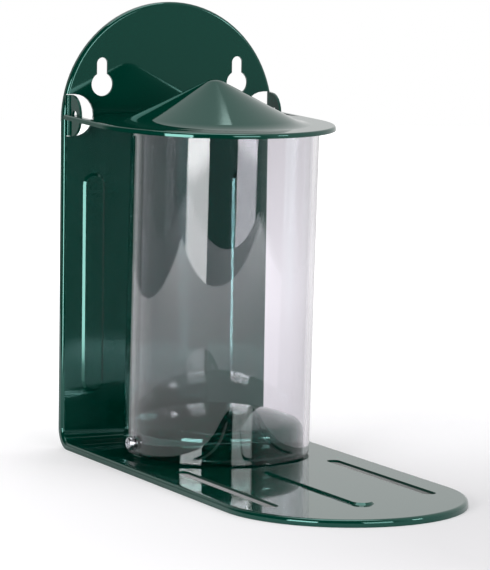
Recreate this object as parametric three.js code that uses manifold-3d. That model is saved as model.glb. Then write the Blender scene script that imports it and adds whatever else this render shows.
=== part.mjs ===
// Squirrel feeder: a clear tube on an L-shaped bracket of pressed sheet steel, under a hinged lid.
// Millimetres, +Z up. The bracket's lip stands on z = 0, x = 0 is the plane of symmetry, and the
// back plate is at +y. Heights and distances below are taken from the corner where the show faces of
// the back plate and the base plate would meet if the bend were sharp.

import * as THREE from "three";
import { mergeVertices } from "three/addons/utils/BufferGeometryUtils.js";
import Module from "manifold-3d";

// Bracket sheet
const bracketWidth = 140;
const backPlateHeight = 263;
const basePlateReach = 292;
const sheetThickness = 1.5;
const lipDepth = 4.2;
const lipEdgeRadius = 2;
const bendRadius = 8;

// Keyholes in the back plate, set in from its sides and down from its top
const keyholeInset = 25;
const keyholeDrop = 49;
const keyholeHeadRadius = 7;
const keyholeSlotRadius = 3.5;
const keyholeSlotRise = 12.5;

// Ribs pressed forward out of the sheet
const ribHeight = 1.2;
const ribRun = 1.4;
const backRibWidth = 14;
const backRibInset = 20;
const backRibFoot = 29;
const backRibDrop = 102;
const baseRibWidth = 14;
const baseRibTubeGap = 68.5;
const baseRibTipGap = 39;

// Slots through the base plate, in front of the tube's axis and behind the plate's tip
const baseSlotWidth = 8;
const baseSlotInset = 21;
const baseSlotTubeGap = 51.5;
const baseSlotTipGap = 54;

// Ears bent forward out of the back plate, which carry the lid
const earInset = 3;
const earReach = 17;
const earWidth = 24.4;
const earBendRadius = 1;
const earHoleRadius = 3.5;
const hingeFromBack = 9;
const earOpeningReach = 17.5;
const punchGap = 0.3;

// Lugs bent up out of the base plate inside the tube
const lugWidth = 10;
const lugReach = 13.6;
const lugBendRadius = 1;
const lugOpeningReach = 14.6;

// Clear tube, set in from the bracket's sides and down from the back plate's top. It hangs on the two
// screws and leans forward until the front of its foot all but touches the base plate.
const tubeSideInset = 15;
const tubeBackGap = 13.5;
const tubeDrop = 70.1;
const tubeWall = 3;
const tubeHoleHeight = 6;
const tubeLean = 6.3;
const tubeClearance = 0.3;

// Lid, which lies on the tube's rim and leans with it
const lidSheet = 1.2;
const lidSetback = 15.3;
const lidRimDepth = 2.8;
const lidEdgeRadius = 1.5;
const coneHeight = 24.8;
const flangeWidth = 13.3;
const crownRadius = 12;
const footRadius = 26;
const lidBackGap = 4;
const armGap = 0.6;
const armWidth = 4.4;
const armTipGap = 3.8;
const tongueReach = 4.1;
const tongueClearance = 0.6;
const seatGap = 0.3;

// Screws that hold the tube, driven into the lugs
const screwHeight = 8.4;
const screwHeadRadius = 4.2;
const screwHeadHeight = 2.6;
const screwHeadEdgeRadius = 1.6;
const screwShankRadius = 2;
const screwShankLength = 10;
const screwTipChamfer = 0.5;
const screwHoleClearance = 0.3;
const recessLength = 4.4;
const recessWidth = 0.9;
const recessDepth = 1.4;

// Facets
const roundSteps = 96;
const bendSteps = 10;
const edgeSteps = 4;
const smallArcSteps = 12;
const crownSteps = 5;
const footSteps = 6;
const smallRoundSteps = 32;

// How far a cutting solid runs past what it cuts
const overrun = 5;

// Worked out from the sizes above
const archRadius = bracketWidth / 2;
const archHeight = backPlateHeight - archRadius;
const frontCentre = basePlateReach - archRadius;
const bracketDepth = basePlateReach + lipDepth;
const tubeOuterRadius = archRadius - tubeSideInset;
const tubeInnerRadius = tubeOuterRadius - tubeWall;
const tubeFromBack = tubeOuterRadius + tubeBackGap;
const tubeLength = backPlateHeight - tubeDrop - screwHeight + tubeHoleHeight;
const leanAngle = Math.asin(tubeLean / tubeLength);
const earFace = archRadius - earInset;
const armInner = earFace + armGap;
const lidRadius = armInner + armWidth;
const coneBaseRadius = lidRadius - flangeWidth;
const keyholeHeight = backPlateHeight - keyholeDrop;
const lugFace = Math.sqrt((tubeInnerRadius - tubeClearance) ** 2 - (lugWidth / 2) ** 2);
const screwHoleRadius = screwShankRadius + screwHoleClearance;

// Places along and behind the tube's leaning axis, counted from the screws
const lidRise = tubeLength - tubeHoleHeight + seatGap;
const hingeRise = lidRise + lidSheet / 2;
const hingeToScrews = tubeFromBack - hingeFromBack;
const hingeSetback = (hingeToScrews + hingeRise * Math.sin(leanAngle)) / Math.cos(leanAngle);
const hingeHeight = screwHeight + hingeSetback * Math.sin(leanAngle) + hingeRise * Math.cos(leanAngle);
const hingeReach = hingeSetback - lidSetback;

const wasm = await Module();
wasm.setup();

// A closed geometry as a solid: shared vertices are merged, and triangles that the merging closes up go
function solidOf(geometry) {
  geometry.deleteAttribute("normal");
  geometry.deleteAttribute("uv");
  const merged = mergeVertices(geometry);
  const corners = merged.index.array;
  const triangles = [];
  for (let i = 0; i < corners.length; i += 3) {
    const [a, b, c] = corners.slice(i, i + 3);
    if (a !== b && b !== c && c !== a) triangles.push(a, b, c);
  }
  const vertProperties = merged.attributes.position.array;
  const triVerts = new Uint32Array(triangles);
  return new wasm.Manifold(new wasm.Mesh({ numProp: 3, vertProperties, triVerts }));
}

function meshOf(solid, name, material) {
  const { vertProperties, triVerts } = solid.getMesh();
  const geometry = new THREE.BufferGeometry();
  geometry.setAttribute("position", new THREE.BufferAttribute(vertProperties, 3));
  geometry.setIndex(new THREE.BufferAttribute(triVerts, 1));
  geometry.computeVertexNormals();
  const mesh = new THREE.Mesh(geometry, material);
  mesh.name = name;
  return mesh;
}

function point(x, y) {
  return new THREE.Vector2(x, y);
}

// Points of an arc about (x, y), both ends included
function arc(x, y, radius, from, to, steps) {
  const points = [];
  for (let i = 0; i <= steps; i += 1) {
    const angle = from + ((to - from) * i) / steps;
    points.push(point(x + radius * Math.cos(angle), y + radius * Math.sin(angle)));
  }
  return points;
}

const quarter = Math.PI / 2;

// A shape drawn in x and y, extruded along z
function prismUp(shape, from, to) {
  const geometry = new THREE.ExtrudeGeometry(shape, { depth: to - from, bevelEnabled: false });
  return geometry.translate(0, 0, from);
}

// A shape drawn in x and z, extruded along y, with an optional slope at both ends
function prismThrough(shape, from, to, slopeHeight = 0, slopeRun = 0) {
  const geometry = new THREE.ExtrudeGeometry(shape, {
    depth: to - from - 2 * slopeHeight,
    bevelEnabled: slopeHeight > 0,
    bevelThickness: slopeHeight,
    bevelSize: slopeRun,
    bevelOffset: -slopeRun,
    bevelSegments: 1,
  });
  return geometry.rotateX(quarter).translate(0, to - slopeHeight, 0);
}

// A shape drawn in y and z, extruded along x
function prismAcross(shape, from, to) {
  const geometry = new THREE.ExtrudeGeometry(shape, { depth: to - from, bevelEnabled: false });
  return geometry.rotateX(quarter).rotateZ(quarter).translate(from, 0, 0);
}

function block(lowest, highest) {
  const size = highest.map((value, i) => value - lowest[i]);
  const middle = highest.map((value, i) => (value + lowest[i]) / 2);
  return new THREE.BoxGeometry(...size).translate(...middle);
}

// A round bar along x
function barAcross(radius, from, to, y, z) {
  const bar = new THREE.CylinderGeometry(radius, radius, to - from, smallRoundSteps);
  return bar.rotateZ(quarter).translate((from + to) / 2, y, z);
}

// An outline with two straight sides and two round ends, its length along the second axis
function obround(x, from, to, radius) {
  return new THREE.Shape([
    ...arc(x, to - radius, radius, 0, Math.PI, smallArcSteps),
    ...arc(x, from + radius, radius, Math.PI, 2 * Math.PI, smallArcSteps),
  ]);
}

// An outline that starts square at one line and ends round, width along the second axis.
// It runs from start towards sign, over reach.
function tongue(start, sign, reach, middle, width) {
  const radius = width / 2;
  const turn = sign > 0 ? 0 : Math.PI;
  const centre = start + sign * (reach - radius);
  const tip = arc(centre, middle, radius, turn - quarter, turn + quarter, smallArcSteps);
  const ends = [point(start, middle + sign * radius), point(start, middle - sign * radius)];
  return new THREE.Shape([...tip, ...ends]);
}

// Half of the bracket's section, from the middle out to the turned lip: across, and into the sheet
function halfSection() {
  const corner = archRadius - lipEdgeRadius;
  const insideRadius = lipEdgeRadius - sheetThickness;
  return [
    point(0, 0),
    ...arc(corner, lipEdgeRadius, lipEdgeRadius, -quarter, 0, edgeSteps),
    point(archRadius, lipDepth),
    point(archRadius - sheetThickness, lipDepth),
    ...arc(corner, lipEdgeRadius, insideRadius, 0, -quarter, edgeSteps),
    point(0, sheetThickness),
  ];
}

function fullSection() {
  const right = halfSection();
  const left = right.map(({ x, y }) => point(-x, y)).reverse();
  return [...right, ...left.slice(1, -1)];
}

// The straight stretch of a plate with its two lips
function plateChannel(from, to) {
  return prismUp(new THREE.Shape(fullSection()), from, to);
}

// The round end of a plate: half of a shallow dish. It lies beyond the line at centre, on the side of sign.
function plateEnd(centre, sign, place) {
  const dish = new THREE.LatheGeometry(halfSection(), roundSteps).translate(0, 0, centre);
  const reach = sign * (archRadius + overrun);
  const side = archRadius + overrun;
  const lowest = [-side, -overrun, Math.min(centre, centre + reach)];
  const highest = [side, lipDepth + overrun, Math.max(centre, centre + reach)];
  const half = block(lowest, highest);
  return solidOf(place(dish)).intersect(solidOf(place(half)));
}

// The bend: the same section turned a quarter about the bend's axis
function plateBend() {
  const ring = fullSection().map(({ x, y }) => point(bendRadius + y, x));
  ring.push(ring[0]);
  const turned = new THREE.LatheGeometry(ring.reverse(), 4 * bendSteps).rotateZ(-quarter);
  turned.translate(0, -bendRadius, bendRadius);
  const side = archRadius + overrun;
  const far = lipDepth + overrun;
  const corner = block([-side, -bendRadius, -far], [side, far, bendRadius]);
  return solidOf(turned).intersect(solidOf(corner));
}

// A rib pressed out of the show face: the hill in front and the hollow behind it
function pressRib(plate, outline, place) {
  const slopeAngle = Math.atan2(ribHeight, ribRun);
  const inset = sheetThickness * Math.tan(slopeAngle / 2);
  const { x, from, to, width } = outline;
  const hill = obround(x, from, to, width / 2);
  const hollow = obround(x, from + inset, to - inset, width / 2 - inset);
  const side = width + overrun;
  const middleOfSheet = sheetThickness / 2;
  const front = block([x - side, -ribHeight - overrun, from - side], [x + side, middleOfSheet, to + side]);
  const hillBlank = prismThrough(hill, -ribHeight, sheetThickness + ribHeight, ribHeight, ribRun);
  const hillSolid = solidOf(place(hillBlank)).intersect(solidOf(place(front)));
  const hollowFront = sheetThickness - ribHeight;
  const hollowBack = sheetThickness + ribHeight + overrun;
  const hollowSolid = solidOf(place(prismThrough(hollow, hollowFront, hollowBack, ribHeight, ribRun)));
  return plate.add(hillSolid).subtract(hollowSolid);
}

// A tab cut free on three sides and bent forward, with a hole across it.
// spec: side, face (its outer face, from the middle), at (its middle along the plate), reach, width,
// bend, openingReach, holeFrom (from the show face to the hole's middle), holeRadius
function bendTab(plate, spec, place) {
  const { side, face, at, reach, width, bend } = spec;
  const fold = face + bend;
  const opening = tongue(side * fold, -side, spec.openingReach, at, width + 2 * punchGap);
  const cut = prismThrough(opening, -overrun, sheetThickness + overrun);
  const inside = arc(fold, -bend, bend, quarter, Math.PI, edgeSteps);
  const outside = arc(fold, -bend, bend + sheetThickness, Math.PI, quarter, edgeSteps);
  const anchor = fold + sheetThickness / 2;
  const section = [
    point(anchor, 0),
    ...inside,
    point(face, -reach),
    point(face - sheetThickness, -reach),
    ...outside,
    point(anchor, sheetThickness),
  ];
  const strip = new THREE.Shape(section.map(({ x, y }) => point(side * x, y)));
  const blank = solidOf(place(prismUp(strip, at - width / 2, at + width / 2)));
  const outline = tongue(sheetThickness + overrun, -1, reach + sheetThickness + overrun, at, width);
  const trim = solidOf(place(prismAcross(outline, -archRadius, archRadius)));
  const from = side * face - overrun;
  const to = side * face + overrun;
  const hole = solidOf(place(barAcross(spec.holeRadius, from, to, -spec.holeFrom, at)));
  return plate.subtract(solidOf(place(cut))).add(blank.intersect(trim)).subtract(hole);
}

function keyhole(x) {
  const neck = Math.sqrt(keyholeHeadRadius ** 2 - keyholeSlotRadius ** 2);
  const open = Math.atan2(neck, keyholeSlotRadius);
  const slotTop = keyholeHeight + keyholeSlotRise;
  const from = Math.PI - open;
  const head = arc(x, keyholeHeight, keyholeHeadRadius, from, 2 * Math.PI + open, 2 * smallArcSteps);
  const slot = arc(x, slotTop, keyholeSlotRadius, 0, Math.PI, smallArcSteps);
  return new THREE.Shape([...head, ...slot]);
}

const upright = (geometry) => geometry;
const flat = (geometry) => geometry.rotateX(-quarter);
const sides = [-1, 1];

function makeBackPlate() {
  let plate = plateEnd(archHeight, 1, upright).add(solidOf(plateChannel(bendRadius, archHeight)));
  for (const side of sides) {
    const x = side * (archRadius - backRibInset);
    const rib = { x, from: backRibFoot, to: backPlateHeight - backRibDrop };
    plate = pressRib(plate, { ...rib, width: backRibWidth }, upright);
    const outline = keyhole(side * (archRadius - keyholeInset));
    plate = plate.subtract(solidOf(prismThrough(outline, -overrun, sheetThickness + overrun)));
    const ear = { side, face: earFace, at: hingeHeight, reach: earReach, width: earWidth };
    const earHole = { holeFrom: hingeFromBack, holeRadius: earHoleRadius };
    const earCut = { bend: earBendRadius, openingReach: earOpeningReach };
    plate = bendTab(plate, { ...ear, ...earHole, ...earCut }, upright);
  }
  return plate;
}

function makeBasePlate() {
  let plate = plateEnd(-frontCentre, -1, flat).add(solidOf(flat(plateChannel(-frontCentre, -bendRadius))));
  const rib = { x: 0, from: baseRibTipGap - basePlateReach, to: -tubeFromBack - baseRibTubeGap };
  plate = pressRib(plate, { ...rib, width: baseRibWidth }, flat);
  for (const side of sides) {
    const x = side * (archRadius - baseSlotInset);
    const front = baseSlotTipGap - basePlateReach;
    const slot = obround(x, front, -tubeFromBack - baseSlotTubeGap, baseSlotWidth / 2);
    plate = plate.subtract(solidOf(flat(prismThrough(slot, -overrun, sheetThickness + overrun))));
    const lug = { side, face: lugFace, at: -tubeFromBack, reach: lugReach, width: lugWidth };
    const lugHole = { holeFrom: screwHeight, holeRadius: screwHoleRadius };
    const lugCut = { bend: lugBendRadius, openingReach: lugOpeningReach };
    plate = bendTab(plate, { ...lug, ...lugHole, ...lugCut }, flat);
  }
  return plate;
}

function makeBracket() {
  return makeBackPlate().add(plateBend()).add(makeBasePlate());
}

function makeTube() {
  const wall = [
    point(tubeInnerRadius, 0),
    point(tubeOuterRadius, 0),
    point(tubeOuterRadius, tubeLength),
    point(tubeInnerRadius, tubeLength),
    point(tubeInnerRadius, 0),
  ];
  const tube = new THREE.LatheGeometry(wall, roundSteps).rotateX(quarter);
  const reach = tubeOuterRadius + overrun;
  const holes = barAcross(screwHoleRadius, -reach, reach, 0, tubeHoleHeight);
  return solidOf(tube).subtract(solidOf(holes));
}

// The angle of the cone's flank: the line that touches both the crown's arc and the foot's arc
function flankAngle() {
  const rise = footRadius + crownRadius - coneHeight;
  const span = Math.hypot(coneBaseRadius, rise);
  return Math.asin((crownRadius + footRadius) / span) - Math.atan2(rise, coneBaseRadius);
}

// The rim of the lid in section, from the flange out and down to the rim's edge and back
function rimSection(from) {
  const corner = lidRadius - lidEdgeRadius;
  const cornerHeight = lidSheet - lidEdgeRadius;
  const rimFoot = lidSheet - lidRimDepth;
  return [
    point(from, lidSheet),
    ...arc(corner, cornerHeight, lidEdgeRadius, quarter, 0, edgeSteps),
    point(lidRadius, rimFoot),
    point(lidRadius - lidSheet, rimFoot),
    ...arc(corner, cornerHeight, lidEdgeRadius - lidSheet, 0, quarter, edgeSteps),
    point(from, 0),
  ];
}

// The pressed cap about its own axis: crown, flank, hollow foot, flange and turned-down rim
function makeCap() {
  const angle = flankAngle();
  const crownCentre = lidSheet + coneHeight - crownRadius;
  const footCentre = lidSheet + footRadius;
  const innerCrown = crownRadius - lidSheet;
  const outerFoot = footRadius + lidSheet;
  const profile = [
    ...arc(0, crownCentre, crownRadius, quarter, quarter - angle, crownSteps),
    ...arc(coneBaseRadius, footCentre, footRadius, -quarter - angle, -quarter, footSteps),
    ...rimSection(coneBaseRadius).slice(1, -1),
    ...arc(coneBaseRadius, footCentre, outerFoot, -quarter, -quarter - angle, footSteps),
    ...arc(0, crownCentre, innerCrown, quarter - angle, quarter, crownSteps),
  ];
  return new THREE.LatheGeometry(profile.reverse(), roundSteps).rotateX(quarter);
}

// One of the two straight arms that run back outside the ears, with the tongue that turns in the ear's hole
function makeArm(side) {
  const tip = hingeReach + hingeFromBack - armTipGap;
  const strip = new THREE.Shape(rimSection(armInner).map(({ x, y }) => point(side * x, y)));
  const bar = solidOf(prismThrough(strip, 0, tip));
  const end = tongue(-overrun, 1, tip + overrun, lidSheet - lidRimDepth / 2, lidRimDepth);
  const trimmed = bar.intersect(solidOf(prismAcross(end, -lidRadius - overrun, lidRadius + overrun)));
  const width = 2 * (earHoleRadius - tongueClearance);
  const root = lidRadius - lidSheet;
  const reach = root - armInner + tongueReach;
  const pivot = prismUp(tongue(side * root, -side, reach, hingeReach, width), 0, lidSheet);
  return trimmed.add(solidOf(pivot));
}

function makeLid() {
  const rear = hingeReach + hingeFromBack - lidBackGap;
  const side = lidRadius + overrun;
  const behind = block([-side, rear, -side], [side, side, side]);
  const cap = solidOf(makeCap()).subtract(solidOf(behind));
  return cap.add(makeArm(-1)).add(makeArm(1));
}

// A pan-head screw about z, its head's underside on z = 0
function makeScrew() {
  const corner = screwHeadRadius - screwHeadEdgeRadius;
  const tip = -screwShankLength;
  const profile = [
    point(0, screwHeadHeight),
    ...arc(corner, screwHeadHeight - screwHeadEdgeRadius, screwHeadEdgeRadius, quarter, 0, edgeSteps),
    point(screwHeadRadius, 0),
    point(screwShankRadius, 0),
    point(screwShankRadius, tip + screwTipChamfer),
    point(screwShankRadius - screwTipChamfer, tip),
    point(0, tip),
  ];
  let screw = solidOf(new THREE.LatheGeometry(profile.reverse(), smallRoundSteps).rotateX(quarter));
  const low = screwHeadHeight - recessDepth;
  const high = screwHeadHeight + overrun;
  const long = recessLength / 2;
  const wide = recessWidth / 2;
  screw = screw.subtract(solidOf(block([-long, -wide, low], [long, wide, high])));
  return screw.subtract(solidOf(block([-wide, -long, low], [wide, long, high])));
}

// Materials
const green = { color: 0x14503f, roughness: 0.18, metalness: 0.0 };
const bracketCoating = new THREE.MeshStandardMaterial(green);
const lidCoating = new THREE.MeshStandardMaterial(green);
const clearTube = { color: 0xe8eef2, roughness: 0.05, metalness: 0, transparent: true, opacity: 0.3 };
const zincPlate = { color: 0xc9ccd0, roughness: 0.3, metalness: 1 };

// The feeder, drawn about the corner of the show faces and set down on its lip
const feeder = new THREE.Group();
feeder.position.set(0, bracketDepth / 2 - lipDepth, lipDepth);

const bracket = meshOf(makeBracket(), "bracket", bracketCoating);
feeder.add(bracket);

// The tube and the lid, about the screws and leaning forward
const leaning = new THREE.Group();
leaning.position.set(0, -tubeFromBack, screwHeight);
leaning.rotation.x = leanAngle;
feeder.add(leaning);

const tube = meshOf(makeTube(), "tube", new THREE.MeshStandardMaterial(clearTube));
tube.position.z = -tubeHoleHeight;
leaning.add(tube);

const lid = meshOf(makeLid(), "lid", lidCoating);
lid.position.set(0, lidSetback, lidRise);
leaning.add(lid);

for (const side of sides) {
  const hand = side < 0 ? "left" : "right";
  const place = new THREE.Group();
  place.position.set(0, -tubeFromBack, screwHeight);
  place.rotation.y = side * quarter;
  const screw = meshOf(makeScrew(), `tube_screw_${hand}`, new THREE.MeshStandardMaterial(zincPlate));
  screw.position.z = tubeOuterRadius + screwHoleClearance;
  place.add(screw);
  feeder.add(place);
}

export default feeder;
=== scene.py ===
import math

import bmesh
import bpy
from mathutils import Matrix, Vector


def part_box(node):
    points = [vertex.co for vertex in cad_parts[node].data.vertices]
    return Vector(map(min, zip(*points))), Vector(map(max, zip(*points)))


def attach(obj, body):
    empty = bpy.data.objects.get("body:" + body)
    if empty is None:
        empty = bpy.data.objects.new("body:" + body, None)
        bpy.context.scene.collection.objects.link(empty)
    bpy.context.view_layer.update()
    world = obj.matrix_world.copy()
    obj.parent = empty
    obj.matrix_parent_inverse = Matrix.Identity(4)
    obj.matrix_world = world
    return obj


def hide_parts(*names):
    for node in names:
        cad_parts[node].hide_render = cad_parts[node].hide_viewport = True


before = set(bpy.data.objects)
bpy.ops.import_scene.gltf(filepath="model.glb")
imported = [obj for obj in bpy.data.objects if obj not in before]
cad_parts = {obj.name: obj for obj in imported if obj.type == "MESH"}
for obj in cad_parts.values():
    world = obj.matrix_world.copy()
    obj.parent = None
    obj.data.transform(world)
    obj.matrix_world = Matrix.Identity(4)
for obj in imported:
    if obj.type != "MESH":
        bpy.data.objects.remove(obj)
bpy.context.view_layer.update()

# Squirrel feeder: a clear tube on a pressed steel bracket, under a hinged lid, on a white studio table.
# Metres, +Z up, the wall at +Y. Sizes in MM are multiplied once, where they are named.
MM = 0.001

# Copies of the CAD nodes: vertices closer than MERGE join, faces within FLAT_ANGLE become one, and every edge
# sharper than SHARP_ANGLE is rounded, as a coating or a little wear rounds it
MERGE = 0.001 * MM
FLAT_ANGLE = math.radians(0.5)
SHARP_ANGLE = math.radians(40)
EDGE_ROUND = 0.35 * MM
EDGE_STEPS = 3

# The real back plate is bowed by a millimetre or two: it leans back below and forward at the top.
# The shape stays flat, and only what the enamel mirrors follows the bow. Leans are rises per unit.
BOW_FOOT = 60 * MM
BOW_TOP = 240 * MM
LEAN_BACK = 0.042
LEAN_FORWARD = -0.032

# Pressed dome that closes the tube's foot: a skirt, a round shoulder and a shallow crown, with a notch in the
# skirt for each lug
DOME_RADIUS = 51.5 * MM
DOME_HEIGHT = 28 * MM
DOME_SHEET = 1.2 * MM
SKIRT_HEIGHT = 14 * MM
SHOULDER_RADIUS = 7 * MM
SHOULDER_STEPS = 10
CROWN_STEPS = 8
DOME_SPIN_STEPS = 192
BASE_TOP = 4.2 * MM
DOME_GAP = 0.1 * MM
NOTCH_HALF_WIDTH = 6 * MM

# Patterns in the finishes: the enamel's orange peel, the lines drawn along the tube and the patches in the
# screws' plating. The real ones are finer, and these are as coarse as they need to be to show.
PEEL = 6 * MM
PEEL_DEPTH = 0.1 * MM
DRAW_LINE = 2.5 * MM
DRAW_DEPTH = 0.05 * MM
DRAW_STRETCH = 0.02
BUMP_SHARE = 0.02
PLATING_PATCH = 1.5 * MM
PLATING_GLOSSY = 0.16
PLATING_DULL = 0.34

# Camera, fitted to the photograph
IMAGE_HEIGHT = 570
FOCAL_PIXELS = 3134.4
AIM = Vector((11.7, 63.9, 104.2)) * MM
DISTANCE = 1838.7 * MM
AZIMUTH = math.radians(-27.0)
ELEVATION = math.radians(6.72)
ROLL = math.radians(0.82)
SENSOR = 36
CLIP_NEAR = 50 * MM
CLIP_FAR = 20000 * MM

# Table top, square to the camera. Its paper is lit by the lamps and has a painted glow of its own, which
# stands for the rest of a real studio's light. The glow is least up to NEAR from a spot at the front right,
# which paints shade on the paper there, and full at FAR. All rays but the camera's, such as those mirrored in
# the tube, meet a painted glow that grows to the front.
TUBE_AXIS = Vector((0, 75, 0)) * MM
TABLE_FRONT = 670 * MM
TABLE_SIDE = 780 * MM
TABLE_REAR = 3000 * MM
SPOT_RIGHT = 250 * MM
SPOT_FRONT = 220 * MM
NEAR = 136 * MM
FAR = 1007 * MM
GLOW_NEAR = 0.08
GLOW_FAR = 1.0
AHEAD = 400 * MM
MIRRORED_BEHIND = 0.35
MIRRORED_AHEAD = 1.5

# Room: a pale backdrop behind, and a dark side at the front left, with a soft change between them. The camera
# itself sees white all round.
ROOM_AZIMUTH = math.radians(-65)
ROOM_EDGE = 0.35
ROOM_PALE = 0.85
ROOM_DARK = 0.02

# Lamps: a tall softbox to the left, whose dimmer lower part hangs below the table's edge, two square ones in
# front and to the right, and a wide one overhead. A glow of 1 looks white.
LAMP_DISTANCE = 1800 * MM
SOFTBOX_AZIMUTH = math.radians(-58)
SOFTBOX_WIDTH = 860 * MM
SOFTBOX_TOP = 800 * MM
SOFTBOX_FOOT = -700 * MM
SOFTBOX_GLOW = 12
SEAM_HEIGHT = -50 * MM
SEAM_BLUR = 15 * MM
BELOW_SEAM_SHARE = 0.5
FRONT_AZIMUTH = math.radians(5)
FRONT_SIZE = 800 * MM
FRONT_HEIGHT = 450 * MM
FRONT_GLOW = 6
RIGHT_AZIMUTH = math.radians(42)
RIGHT_SIZE = 330 * MM
RIGHT_HEIGHT = 620 * MM
RIGHT_GLOW = 12
TOP_PLACE = Vector((0, 200, 2200)) * MM
TOP_SIZE = 1500 * MM
TOP_GLOW = 3


def linear(code):
    """An sRGB hex code as linear red, green, blue and alpha."""
    parts = [int(code[i:i + 2], 16) / 255 for i in (0, 2, 4)]
    return tuple(c / 12.92 if c <= 0.04045 else ((c + 0.055) / 1.055) ** 2.4 for c in parts) + (1.0,)


WHITE = linear("ffffff")


def node(tree, kind, settings=None, links=None, values=None):
    """Adds a node: settings are its own options, values its sockets, links the sockets that feed it."""
    made = tree.nodes.new(kind)
    for name, setting in (settings or {}).items():
        setattr(made, name, setting)
    for socket, value in (values or {}).items():
        made.inputs[socket].default_value = value
    for socket, source in (links or {}).items():
        tree.links.new(source, made.inputs[socket])
    return made


def new_material(name):
    material = bpy.data.materials.new(name)
    material.use_nodes = True
    material.node_tree.nodes.clear()
    return material, material.node_tree


def gloss_enamel():
    # Stoved gloss enamel on pressed steel, sprayed and baked in one thick coat over a deep green pigment.
    # The coat flows out almost to a mirror, and its faint orange peel makes straight reflections waver.
    material, tree = new_material("gloss_enamel")
    place = node(tree, "ShaderNodeTexCoord").outputs["Object"]
    peel = node(
        tree, "ShaderNodeTexNoise",
        links={"Vector": place},
        values={"Scale": 1 / PEEL, "Detail": 1.0},
    )
    axes = node(tree, "ShaderNodeSeparateXYZ", links={"Vector": place})
    lean = node(
        tree, "ShaderNodeMapRange", {"interpolation_type": "SMOOTHSTEP"},
        links={"Value": axes.outputs["Z"]},
        values={"From Min": BOW_FOOT, "From Max": BOW_TOP, "To Min": LEAN_BACK, "To Max": LEAN_FORWARD},
    )
    tip = node(tree, "ShaderNodeCombineXYZ", links={"Z": lean.outputs["Result"]})
    facing = node(tree, "ShaderNodeNewGeometry").outputs["Normal"]
    tipped = node(
        tree, "ShaderNodeVectorMath", {"operation": "ADD"},
        links={0: facing, 1: tip.outputs["Vector"]},
    )
    bowed = node(
        tree, "ShaderNodeVectorMath", {"operation": "NORMALIZE"},
        links={0: tipped.outputs["Vector"]},
    )
    bump = node(
        tree, "ShaderNodeBump",
        links={"Height": peel.outputs["Fac"], "Normal": bowed.outputs["Vector"]},
        values={"Strength": BUMP_SHARE, "Distance": PEEL_DEPTH},
    )
    shader = node(
        tree, "ShaderNodeBsdfPrincipled",
        links={"Normal": bump.outputs["Normal"]},
        values={
            "Base Color": linear("002c22"), "Roughness": 0.05, "IOR": 1.5,
            "Specular IOR Level": 0.72, "Specular Tint": linear("b4faef"),
        },
    )
    node(tree, "ShaderNodeOutputMaterial", links={"Surface": shader.outputs["BSDF"]})
    return material


def clear_acrylic():
    # Clear acrylic, extruded as a tube: hardly any colour, and sharp reflections on both faces of the wall.
    # The die leaves faint lines along the tube, so its reflections are drawn out in very slight streaks.
    material, tree = new_material("clear_acrylic")
    place = node(tree, "ShaderNodeTexCoord").outputs["Object"]
    drawn = node(
        tree, "ShaderNodeMapping",
        links={"Vector": place},
        values={"Scale": (1, 1, DRAW_STRETCH)},
    )
    streaks = node(
        tree, "ShaderNodeTexNoise",
        links={"Vector": drawn.outputs["Vector"]},
        values={"Scale": 1 / DRAW_LINE, "Detail": 2.0},
    )
    bump = node(
        tree, "ShaderNodeBump",
        links={"Height": streaks.outputs["Fac"]},
        values={"Strength": BUMP_SHARE, "Distance": DRAW_DEPTH},
    )
    shader = node(
        tree, "ShaderNodeBsdfPrincipled",
        links={"Normal": bump.outputs["Normal"]},
        values={
            "Base Color": linear("fbf9fd"), "Roughness": 0.0, "IOR": 1.47,
            "Transmission Weight": 1.0,
        },
    )
    node(tree, "ShaderNodeOutputMaterial", links={"Surface": shader.outputs["BSDF"]})
    return material


def zinc_plate():
    # Zinc electroplated on a cold-headed steel screw: a cool light grey metal with soft highlights.
    # The plating grows unevenly, so the gloss changes a little within a millimetre or two.
    material, tree = new_material("zinc_plate")
    place = node(tree, "ShaderNodeTexCoord").outputs["Object"]
    plating = node(
        tree, "ShaderNodeTexNoise",
        links={"Vector": place},
        values={"Scale": 1 / PLATING_PATCH, "Detail": 3.0},
    )
    gloss = node(
        tree, "ShaderNodeMapRange",
        links={"Value": plating.outputs["Fac"]},
        values={"To Min": PLATING_GLOSSY, "To Max": PLATING_DULL},
    )
    shader = node(
        tree, "ShaderNodeBsdfPrincipled",
        links={"Roughness": gloss.outputs["Result"]},
        values={"Base Color": linear("c9cbcf"), "Metallic": 1.0},
    )
    node(tree, "ShaderNodeOutputMaterial", links={"Surface": shader.outputs["BSDF"]})
    return material


def new_object(name, shape, material):
    """A bmesh as an object at the origin, with one material."""
    mesh = bpy.data.meshes.new(name)
    shape.to_mesh(mesh)
    shape.free()
    mesh.materials.append(material)
    made = bpy.data.objects.new(name, mesh)
    bpy.context.scene.collection.objects.link(made)
    return made


def finished_copy(cad_node, name, body, material):
    """The CAD node's shape as one smooth mesh, with its sharp edges rounded."""
    shape = bmesh.new()
    shape.from_mesh(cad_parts[cad_node].data)
    bmesh.ops.remove_doubles(shape, verts=shape.verts, dist=MERGE)
    bmesh.ops.dissolve_limit(shape, angle_limit=FLAT_ANGLE, verts=shape.verts, edges=shape.edges)
    for face in shape.faces:
        face.smooth = True
        face.material_index = 0
    piece = new_object(name, shape, material)
    edge = piece.modifiers.new("edge", "BEVEL")
    edge.width = EDGE_ROUND
    edge.segments = EDGE_STEPS
    edge.limit_method = "ANGLE"
    edge.angle_limit = SHARP_ANGLE
    edge.miter_outer = "MITER_ARC"
    normals = piece.modifiers.new("normals", "WEIGHTED_NORMAL")
    normals.keep_sharp = True
    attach(piece, body)
    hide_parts(cad_node)


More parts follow.
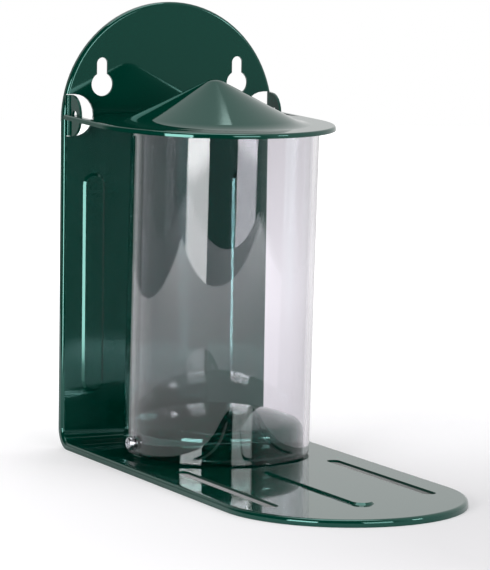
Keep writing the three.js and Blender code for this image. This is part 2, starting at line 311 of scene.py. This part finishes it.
def dome_profile():
    """Half the dome's section, from the foot of the skirt to the crown, as distances out and up."""
    across = DOME_RADIUS - SHOULDER_RADIUS
    below = SKIRT_HEIGHT - DOME_HEIGHT
    crown = (SHOULDER_RADIUS ** 2 - across ** 2 - below ** 2) / (2 * (below + SHOULDER_RADIUS))
    sink = DOME_HEIGHT - crown
    meet = math.atan2(SKIRT_HEIGHT - sink, across)
    points = [(DOME_RADIUS, 0)]
    for step in range(SHOULDER_STEPS):
        turn = meet * step / SHOULDER_STEPS
        out = across + SHOULDER_RADIUS * math.cos(turn)
        points.append((out, SKIRT_HEIGHT + SHOULDER_RADIUS * math.sin(turn)))
    for step in range(CROWN_STEPS + 1):
        turn = meet + (math.pi / 2 - meet) * step / CROWN_STEPS
        points.append((crown * math.cos(turn), sink + crown * math.sin(turn)))
    return points


def round_and_up(place):
    """Orders places on the dome by turn, then by height. Merging alone leaves them in a new order each run."""
    return math.atan2(place.y, place.x) + place.z / DOME_HEIGHT * math.pi / DOME_SPIN_STEPS


def pressed_dome(material):
    """The dome stands on the base plate, with its middle between the tube's screws."""
    screw_low, screw_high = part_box("tube_screw_left")
    middle = Vector((0, (screw_low[1] + screw_high[1]) / 2, BASE_TOP + DOME_GAP))
    shape = bmesh.new()
    chain = [shape.verts.new((out, 0, up)) for out, up in dome_profile()]
    edges = [shape.edges.new(pair) for pair in zip(chain, chain[1:])]
    bmesh.ops.spin(
        shape, geom=chain + edges, cent=(0, 0, 0), axis=(0, 0, 1), dvec=(0, 0, 0),
        angle=2 * math.pi, steps=DOME_SPIN_STEPS, use_merge=True,
    )
    bmesh.ops.remove_doubles(shape, verts=shape.verts, dist=MERGE)
    bmesh.ops.recalc_face_normals(shape, faces=shape.faces)
    skirt = [face for face in shape.faces if face.calc_center_median().z < SKIRT_HEIGHT]
    notches = [face for face in skirt if abs(face.calc_center_median().y) < NOTCH_HALF_WIDTH]
    bmesh.ops.delete(shape, geom=notches, context="FACES")
    shape.verts.sort(key=lambda corner: round_and_up(corner.co))
    shape.faces.sort(key=lambda face: round_and_up(face.calc_center_median()))
    bmesh.ops.translate(shape, vec=middle, verts=shape.verts)
    for face in shape.faces:
        face.smooth = True
    piece = new_object("enamelled_dome", shape, material)
    wall = piece.modifiers.new("wall", "SOLIDIFY")
    wall.thickness = DOME_SHEET
    wall.offset = -1
    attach(piece, "stand")


def towards(azimuth):
    """A level direction: 0 is the front, positive is towards +X."""
    return Vector((math.sin(azimuth), -math.cos(azimuth), 0))


def white_paper():
    # White paper on the table: matt, with a painted glow that stands for studio light. Besides the object's
    # own shadow, it carries painted shade near a spot at the front right, where its glow is least.
    material, tree = new_material("white_paper")
    path = node(tree, "ShaderNodeLightPath")
    place = node(tree, "ShaderNodeTexCoord").outputs["Object"]
    spot = TUBE_AXIS + SPOT_RIGHT * towards(AZIMUTH + math.pi / 2) + SPOT_FRONT * towards(AZIMUTH)
    reach = node(
        tree, "ShaderNodeVectorMath", {"operation": "DISTANCE"},
        links={0: place},
        values={1: spot},
    )
    # Painted shade: the paper's glow is dimmest within NEAR of the spot at the front right
    rise = node(
        tree, "ShaderNodeMapRange",
        links={"Value": reach.outputs["Value"]},
        values={"From Min": NEAR, "From Max": FAR, "To Min": GLOW_NEAR, "To Max": GLOW_FAR},
    )
    ahead = node(
        tree, "ShaderNodeVectorMath", {"operation": "DOT_PRODUCT"},
        links={0: place},
        values={1: towards(AZIMUTH)},
    )
    # Painted light and reflection: what the tube mirrors of the paper, and the light it sends to the object,
    # grow to the front
    mirrored = node(
        tree, "ShaderNodeMapRange",
        links={"Value": ahead.outputs["Value"]},
        values={"From Min": 0.0, "From Max": AHEAD, "To Min": MIRRORED_BEHIND, "To Max": MIRRORED_AHEAD},
    )
    seen = node(
        tree, "ShaderNodeMix", {"data_type": "FLOAT"},
        links={0: path.outputs["Is Camera Ray"], 2: mirrored.outputs["Result"]},
        values={3: 1.0},
    )
    strength = node(
        tree, "ShaderNodeMath", {"operation": "MULTIPLY"},
        links={0: rise.outputs["Result"], 1: seen.outputs["Result"]},
    )
    matt = node(tree, "ShaderNodeBsdfDiffuse", values={"Color": linear("d3d2d4")})
    glow = node(
        tree, "ShaderNodeEmission",
        links={"Strength": strength.outputs["Value"]},
        values={"Color": WHITE},
    )
    both = node(
        tree, "ShaderNodeAddShader",
        links={0: matt.outputs["BSDF"], 1: glow.outputs["Emission"]},
    )
    node(tree, "ShaderNodeOutputMaterial", links={"Surface": both.outputs["Shader"]})
    return material


def table():
    depth = TABLE_FRONT + TABLE_REAR
    setback = (TABLE_REAR - TABLE_FRONT) / 2
    shape = bmesh.new()
    bmesh.ops.create_grid(shape, x_segments=1, y_segments=1, size=0.5)
    bmesh.ops.scale(shape, vec=(2 * TABLE_SIDE, depth, 1), verts=shape.verts)
    bmesh.ops.translate(shape, vec=(0, setback, 0), verts=shape.verts)
    bmesh.ops.rotate(shape, cent=(0, 0, 0), matrix=Matrix.Rotation(AZIMUTH, 3, "Z"), verts=shape.verts)
    bmesh.ops.translate(shape, vec=TUBE_AXIS, verts=shape.verts)
    new_object("table", shape, white_paper())


def backdrop():
    """White for the camera, and for all that is mirrored or lit the pale and the dark side of the room."""
    world = bpy.data.worlds.new("studio")
    bpy.context.scene.world = world
    world.use_nodes = True
    tree = world.node_tree
    tree.nodes.clear()
    path = node(tree, "ShaderNodeLightPath")
    direction = node(tree, "ShaderNodeTexCoord").outputs["Generated"]
    facing = node(
        tree, "ShaderNodeVectorMath", {"operation": "DOT_PRODUCT"},
        links={0: direction},
        values={1: towards(ROOM_AZIMUTH)},
    )
    room = node(
        tree, "ShaderNodeMapRange", {"interpolation_type": "SMOOTHSTEP"},
        links={"Value": facing.outputs["Value"]},
        values={"From Min": -ROOM_EDGE, "From Max": ROOM_EDGE, "To Min": ROOM_PALE, "To Max": ROOM_DARK},
    )
    seen = node(
        tree, "ShaderNodeMath", {"operation": "MAXIMUM"},
        links={0: room.outputs["Result"], 1: path.outputs["Is Camera Ray"]},
    )
    background = node(
        tree, "ShaderNodeBackground",
        links={"Strength": seen.outputs["Value"]},
        values={"Color": WHITE},
    )
    node(tree, "ShaderNodeOutputWorld", links={"Surface": background.outputs["Background"]})


def lamp(name, place, aim, width, height, glow):
    """A rectangular lamp. Its glow is how bright its face looks, where 1 is white."""
    data = bpy.data.lights.new(name, "AREA")
    data.shape = "RECTANGLE"
    data.size = width
    data.size_y = height
    data.energy = glow * math.pi * width * height
    made = bpy.data.objects.new(name, data)
    made.location = place
    made.rotation_mode = "QUATERNION"
    made.rotation_quaternion = (aim - place).to_track_quat("-Z", "Y")
    bpy.context.scene.collection.objects.link(made)
    return made


def softbox():
    """The tall lamp to the left, dimmer below its seam."""
    height = SOFTBOX_TOP - SOFTBOX_FOOT
    middle = Vector((0, 0, (SOFTBOX_TOP + SOFTBOX_FOOT) / 2))
    place = TUBE_AXIS + LAMP_DISTANCE * towards(SOFTBOX_AZIMUTH) + middle
    made = lamp("softbox", place, TUBE_AXIS + middle, SOFTBOX_WIDTH, height, SOFTBOX_GLOW)
    made.data.use_nodes = True
    tree = made.data.node_tree
    tree.nodes.clear()
    spot = node(tree, "ShaderNodeNewGeometry")
    axes = node(tree, "ShaderNodeSeparateXYZ", links={"Vector": spot.outputs["Position"]})
    share = node(
        tree, "ShaderNodeMapRange",
        links={"Value": axes.outputs["Z"]},
        values={
            "From Min": SEAM_HEIGHT - SEAM_BLUR, "From Max": SEAM_HEIGHT + SEAM_BLUR,
            "To Min": BELOW_SEAM_SHARE, "To Max": 1.0,
        },
    )
    glow = node(
        tree, "ShaderNodeEmission",
        links={"Strength": share.outputs["Result"]},
        values={"Color": WHITE},
    )
    node(tree, "ShaderNodeOutputLight", links={"Surface": glow.outputs["Emission"]})


def square_lamp(name, azimuth, height, size, glow):
    place = TUBE_AXIS + LAMP_DISTANCE * towards(azimuth) + Vector((0, 0, height))
    lamp(name, place, TUBE_AXIS, size, size, glow)


def camera():
    forward = Vector((
        math.sin(-AZIMUTH) * math.cos(ELEVATION),
        math.cos(AZIMUTH) * math.cos(ELEVATION),
        -math.sin(ELEVATION),
    ))
    right = forward.cross(Vector((0, 0, 1))).normalized()
    up = right.cross(forward)
    turned_right = math.cos(ROLL) * right + math.sin(ROLL) * up
    turned_up = math.cos(ROLL) * up - math.sin(ROLL) * right
    data = bpy.data.cameras.new("camera")
    data.sensor_width = SENSOR
    data.lens = FOCAL_PIXELS / IMAGE_HEIGHT * SENSOR
    data.clip_start = CLIP_NEAR
    data.clip_end = CLIP_FAR
    made = bpy.data.objects.new("camera", data)
    axes = Matrix((turned_right, turned_up, -forward)).transposed()
    made.matrix_world = Matrix.Translation(AIM - DISTANCE * forward) @ axes.to_4x4()
    bpy.context.scene.collection.objects.link(made)
    bpy.context.scene.camera = made


enamel = gloss_enamel()
acrylic = clear_acrylic()
zinc = zinc_plate()
finished_copy("bracket", "enamelled_bracket", "stand", enamel)
finished_copy("lid", "enamelled_lid", "lid", enamel)
finished_copy("tube", "acrylic_tube", "stand", acrylic)
for hand in ("left", "right"):
    finished_copy(f"tube_screw_{hand}", f"plated_screw_{hand}", "stand", zinc)
pressed_dome(enamel)

table()
backdrop()
softbox()
square_lamp("front", FRONT_AZIMUTH, FRONT_HEIGHT, FRONT_SIZE, FRONT_GLOW)
square_lamp("right", RIGHT_AZIMUTH, RIGHT_HEIGHT, RIGHT_SIZE, RIGHT_GLOW)
lamp("top", TOP_PLACE, Vector((0, 0, 0)), TOP_SIZE, TOP_SIZE, TOP_GLOW)
camera()
bpy.context.scene.view_settings.view_transform = "Standard"
